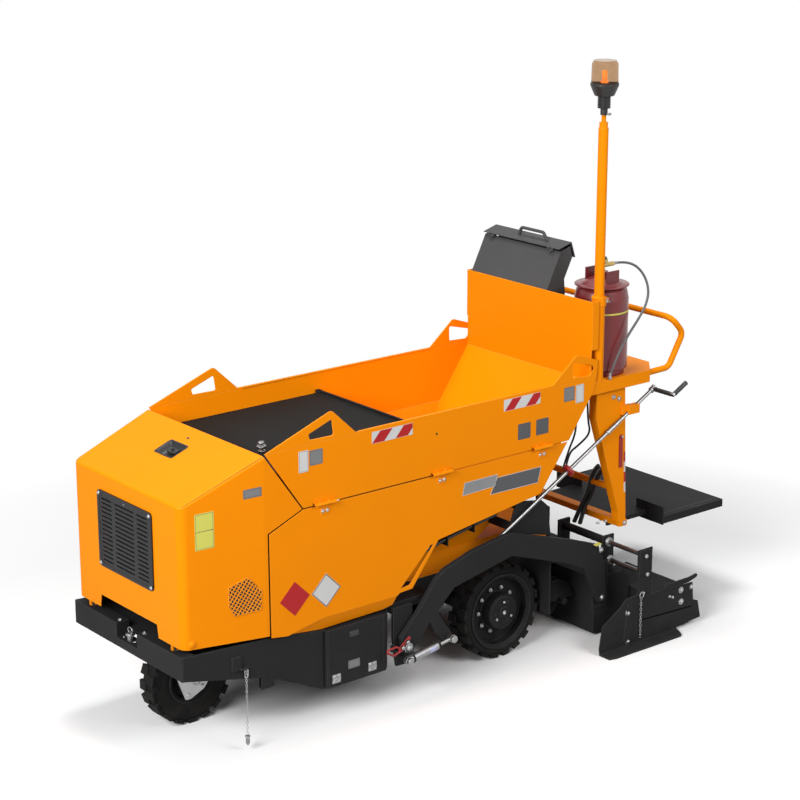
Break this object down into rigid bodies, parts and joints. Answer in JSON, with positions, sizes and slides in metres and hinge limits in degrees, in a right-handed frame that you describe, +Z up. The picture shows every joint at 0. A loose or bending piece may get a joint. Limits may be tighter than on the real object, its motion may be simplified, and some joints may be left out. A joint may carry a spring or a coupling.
{
  "type": "asphalt paver",
  "caption": "Compact three-wheel asphalt paver with a steel hopper, tilting hood, sliding screed extensions, operator's platform, console, gas bottle and beacon mast.",
  "frame": {"origin": "on the ground, under the centre of the bounding box", "axes": "+X forward to the engine end, +Y to the machine's left, +Z up"},
  "size_m": [3.332, 1.452, 2.8066],
  "materials": {
    "orange": "gloss powder coat",
    "charcoal": "satin powder coat",
    "console_grey": "fine texture powder coat",
    "cover_black": "fine texture powder coat",
    "bottle_red": "gloss",
    "valve_brass": "cast",
    "hose_rubber": "matt",
    "bright_steel": "zinc plated",
    "cast_iron": "cast",
    "black_plastic": "matt",
    "amber": "clear gloss",
    "tyre": "matt"
  },
  "bodies": {
    "chassis": {"bumper": "charcoal", "console_body": "console_grey", "conveyor": "orange", "engine_block": "cast_iron", "engine_tray": "charcoal", "gas_bottle": "bottle_red", "gas_hose": "hose_rubber", "gas_valve": "valve_brass", "handrail": "orange", "hopper_brackets": "charcoal", "hopper_floor": "orange", "hopper_rear_wall": "orange", "hopper_side_left": "orange", "hopper_side_right": "orange", "hose_bundle": "hose_rubber", "lifting_eyes": "orange", "main_frame": "charcoal", "mast_post": "orange", "pointer_chain": "bright_steel", "rear_axle": "charcoal", "rear_deck": "orange", "rear_legs": "orange", "side_boxes": "charcoal", "side_plates": "charcoal", "spindles": "bright_steel", "tow_plates": "charcoal"},
    "hood": {"hood_shell": "orange", "grille": "charcoal"},
    "engine_lid": {"engine_cover": "cover_black"},
    "panel_left": {"side_panel_left": "orange"},
    "panel_right": {"side_panel_right": "orange"},
    "fork": {"front_fork": "bright_steel"},
    "front_wheel": {"front_rim": "charcoal", "front_tyre": "tyre"},
    "rear_wheel_left": {"rear_rim_left": "charcoal", "rear_tyre_left": "tyre"},
    "rear_wheel_right": {"rear_rim_right": "charcoal", "rear_tyre_right": "tyre"},
    "conveyor_auger": {"auger": "charcoal"},
    "screed": {"screed_arms": "charcoal", "screed_frame": "charcoal"},
    "screed_extension_left": {"extension_left": "charcoal"},
    "screed_extension_right": {"extension_right": "charcoal"},
    "step_platform": {"platform": "charcoal"},
    "control_lid": {"console_lid": "console_grey"},
    "mast": {"mast_tube": "orange", "beacon_base": "black_plastic", "beacon_lens": "amber"},
    "lift_barrel_pair": {"lift_barrels": "charcoal"},
    "lift_rod_pair": {"lift_rods": "bright_steel"}
  },
  "joints": [
    {"name": "hood_hinge", "type": "hinge", "parent": "chassis", "child": "hood", "pos_m": [1.63, 0, 0.52], "axis": [0, 1, 0], "range_deg": [0, 50]},
    {"name": "engine_lid_hinge", "type": "hinge", "parent": "chassis", "child": "engine_lid", "pos_m": [0.297, 0, 1.232], "axis": [0, -1, 0], "range_deg": [0, 70]},
    {"name": "panel_left_hinge", "type": "hinge", "parent": "chassis", "child": "panel_left", "pos_m": [0.25, 0.459, 1.043], "axis": [1, 0, 0], "range_deg": [0, 80]},
    {"name": "panel_right_hinge", "type": "hinge", "parent": "chassis", "child": "panel_right", "pos_m": [0.25, -0.459, 1.043], "axis": [-1, 0, 0], "range_deg": [0, 80]},
    {"name": "steering", "type": "hinge", "parent": "chassis", "child": "fork", "pos_m": [1.368, 0, 0.45], "axis": [0, 0, 1], "range_deg": [-35, 35]},
    {"name": "front_wheel_turn", "type": "hinge", "parent": "fork", "child": "front_wheel", "pos_m": [1.368, 0, 0.21], "axis": [0, 1, 0], "continuous": true},
    {"name": "rear_wheel_left_turn", "type": "hinge", "parent": "chassis", "child": "rear_wheel_left", "pos_m": [-0.187, 0.3, 0.232], "axis": [0, 1, 0], "continuous": true},
    {"name": "rear_wheel_right_turn", "type": "hinge", "parent": "chassis", "child": "rear_wheel_right", "pos_m": [-0.187, -0.3, 0.232], "axis": [0, 1, 0], "continuous": true},
    {"name": "auger_turn", "type": "hinge", "parent": "chassis", "child": "conveyor_auger", "pos_m": [-0.58, 0, 0.19], "axis": [0, 1, 0], "continuous": true},
    {"name": "screed_lift", "type": "hinge", "parent": "chassis", "child": "screed", "pos_m": [0.482, 0, 0.262], "axis": [0, 1, 0], "range_deg": [0, 6]},
    {"name": "extension_left_slide", "type": "slide", "parent": "screed", "child": "screed_extension_left", "axis": [0, 1, 0], "range_m": [-0.155, 0.08]},
    {"name": "extension_right_slide", "type": "slide", "parent": "screed", "child": "screed_extension_right", "axis": [0, -1, 0], "range_m": [-0.155, 0.08]},
    {"name": "platform_fold", "type": "hinge", "parent": "chassis", "child": "step_platform", "pos_m": [-0.968, 0, 0.502], "axis": [0, 1, 0], "range_deg": [0, 80]},
    {"name": "control_lid_hinge", "type": "hinge", "parent": "chassis", "child": "control_lid", "pos_m": [-0.73, -0.15, 1.866], "axis": [0, 1, 0], "range_deg": [0, 100]},
    {"name": "mast_slide", "type": "slide", "parent": "chassis", "child": "mast", "axis": [0, 0, 1], "range_m": [-0.3, 0]},
    {"name": "lift_barrel_swing", "type": "hinge", "parent": "chassis", "child": "lift_barrel_pair", "pos_m": [0.506, 0, 0.216], "axis": [0, 1, 0], "range_deg": [0, 5.25]},
    {"name": "lift_rod_slide", "type": "slide", "parent": "lift_barrel_pair", "child": "lift_rod_pair", "axis": [-0.9869, 0, 0.1613], "range_m": [0, 0.0042]}
  ],
  "couplings": [
    {"joint": "lift_barrel_swing", "follows": "screed_lift", "ratio": 0.87445},
    {"joint": "lift_rod_slide", "follows": "screed_lift", "m_per_rad": 0.040042}
  ]
}
